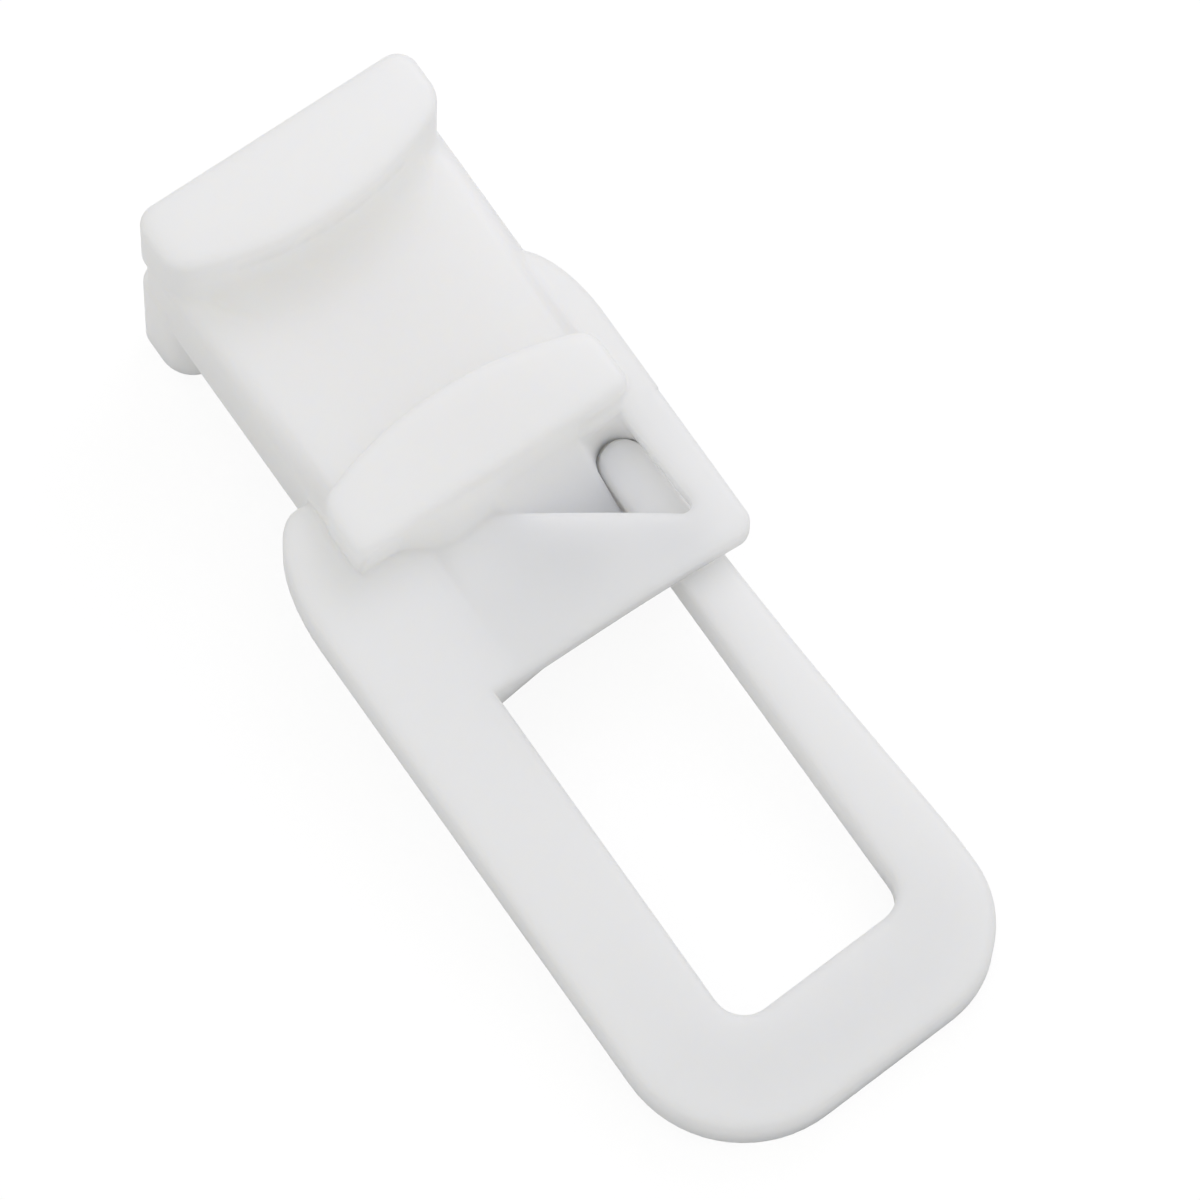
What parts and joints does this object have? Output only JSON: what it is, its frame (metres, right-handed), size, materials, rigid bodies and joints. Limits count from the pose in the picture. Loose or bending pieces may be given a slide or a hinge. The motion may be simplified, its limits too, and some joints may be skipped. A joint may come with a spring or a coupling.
{
  "type": "curtain hook",
  "caption": "One-piece moulded plastic curtain hook: a grooved head that slides in a curtain track's slot above a flat loop closed by a springy finger behind a slanted guard.",
  "frame": {"origin": "centre of the bounding box, on its lowest face, where the loose hook rests on the back of its head and of its loop", "axes": "+Y from the loop to the head, +Z from the back to the front, +X across, towards the finger and the guard; the plate is tilted 8 degrees about X, as the hook comes to rest"},
  "size_m": [0.0124, 0.0334, 0.0102],
  "materials": {
    "plastic": "natural white acetal, moulded, satin"
  },
  "bodies": {
    "root": {"curtain_hook": "plastic"}
  },
  "joints": []
}
